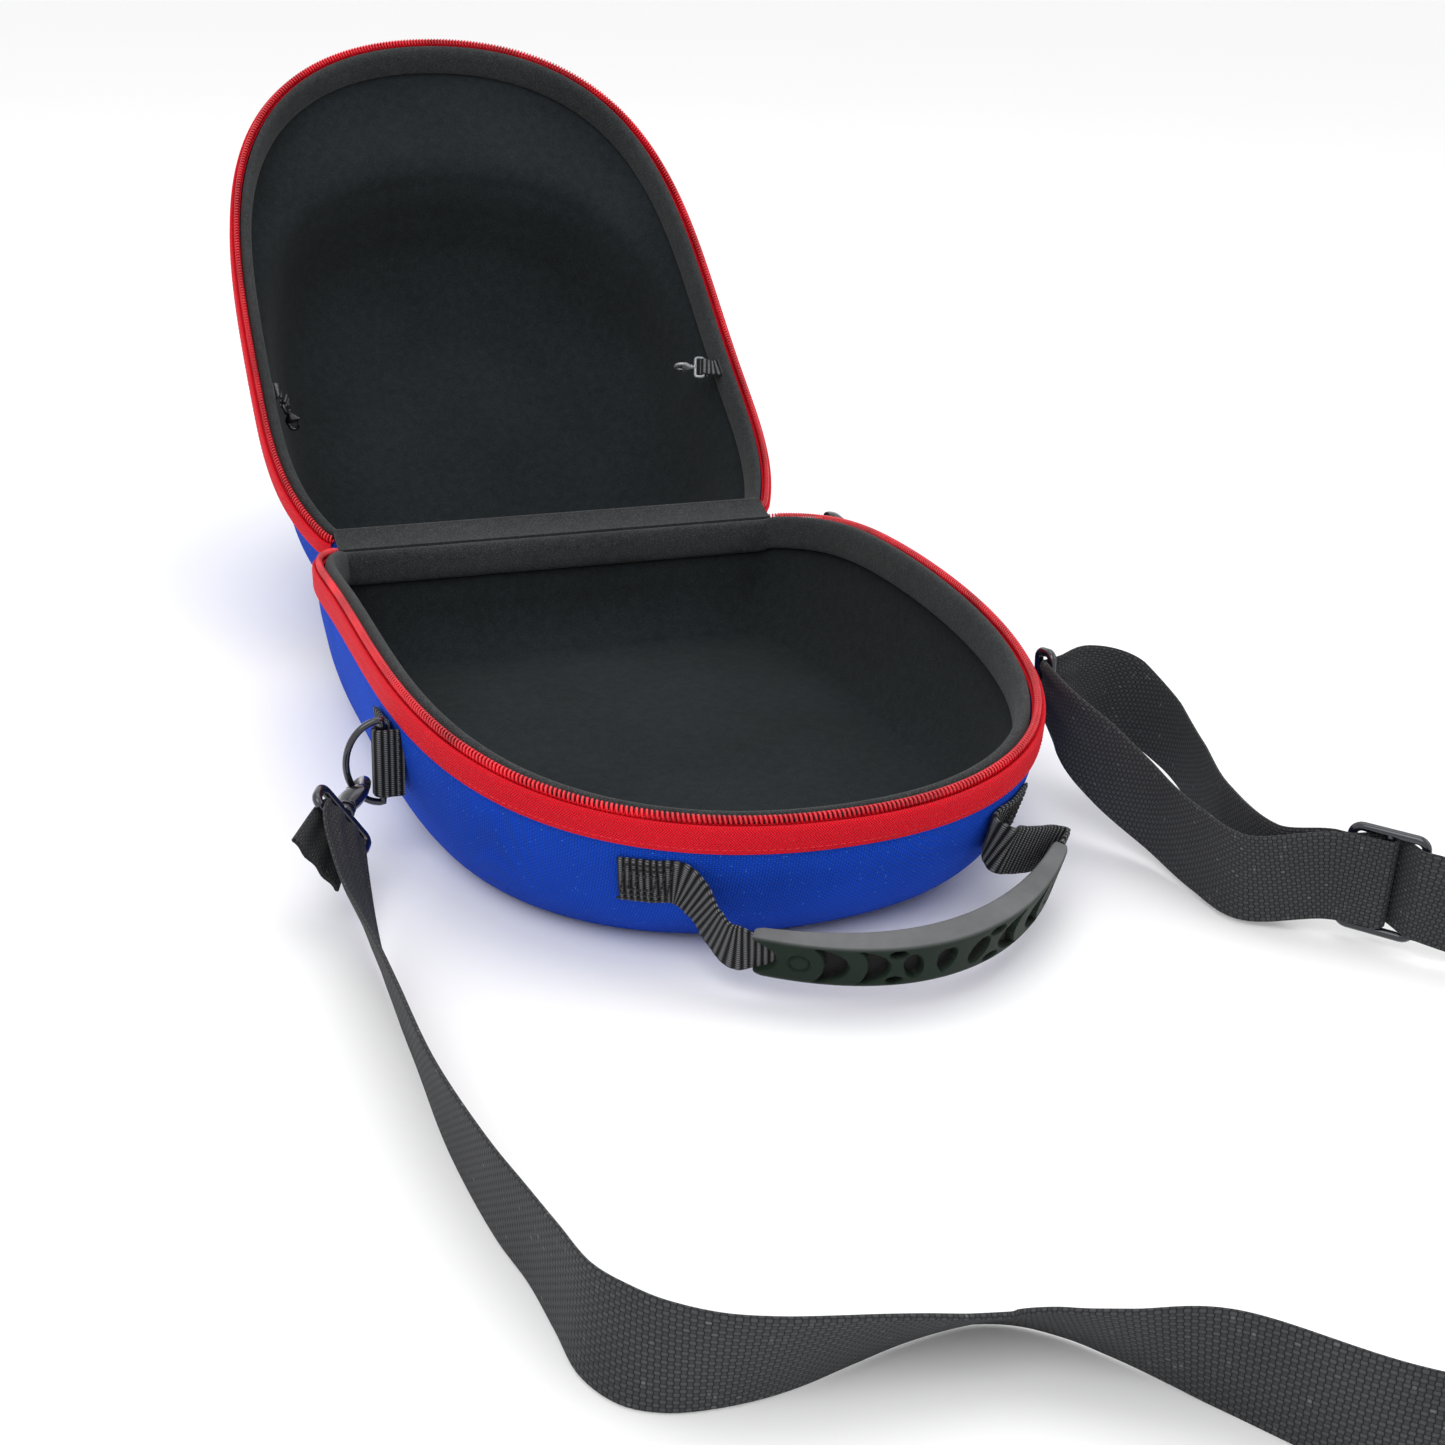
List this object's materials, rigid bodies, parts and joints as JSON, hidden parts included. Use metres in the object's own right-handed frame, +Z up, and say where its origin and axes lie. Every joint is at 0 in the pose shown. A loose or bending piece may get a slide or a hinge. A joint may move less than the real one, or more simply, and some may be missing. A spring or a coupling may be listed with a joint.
{
  "type": "baseball cap carrier case",
  "caption": "Hard-shell fabric case for baseball caps, opened like a clam on its hinge, with a zip round the rim, a front carrying handle and a shoulder strap.",
  "frame": {"origin": "on the table under the middle of the base half", "axes": "+X to the right, -Y to the front with the carrying handle, +Z up"},
  "size_m": [0.3893, 0.7819, 0.239],
  "materials": {
    "blue_fabric": "fine plain weave over moulded foam",
    "black_lining": "matt brushed lining",
    "charcoal_felt": "matt felt binding",
    "red_tape": "woven zip tape",
    "red_teeth": "coil zip teeth",
    "black_webbing": "ribbed polyester webbing",
    "black_metal": "glossy dark nickel",
    "grey_grip": "soft moulded rubber"
  },
  "bodies": {
    "root": {"base_shell": "blue_fabric", "base_lining": "black_lining", "base_rim_binding": "charcoal_felt", "base_zip_tape": "red_tape", "base_zip_teeth": "red_teeth", "hinge_strip_base": "black_webbing", "side_loop_left": "black_webbing", "side_loop_right": "black_webbing", "d_ring_left": "black_metal", "d_ring_right": "black_metal", "snap_hook_left": "black_metal", "snap_hook_right": "black_metal", "shoulder_strap": "black_webbing", "strap_slider": "black_metal", "handle_tab_left": "black_webbing", "handle_tab_right": "black_webbing", "handle_grip": "grey_grip", "zip_slider": "black_metal"},
    "lid": {"lid_shell": "blue_fabric", "lid_lining": "black_lining", "lid_rim_binding": "charcoal_felt", "lid_zip_tape": "red_tape", "lid_zip_teeth": "red_teeth", "hinge_strip_lid": "black_webbing", "lid_tab_left": "black_webbing", "lid_tab_right": "black_webbing", "lid_clip_left": "black_metal", "lid_clip_right": "black_metal"}
  },
  "joints": [
    {"name": "lid_hinge", "type": "hinge", "parent": "root", "child": "lid", "pos_m": [0, 0.145, 0.054], "axis": [1, 0, 0], "range_deg": [0, 139.9]}
  ]
}
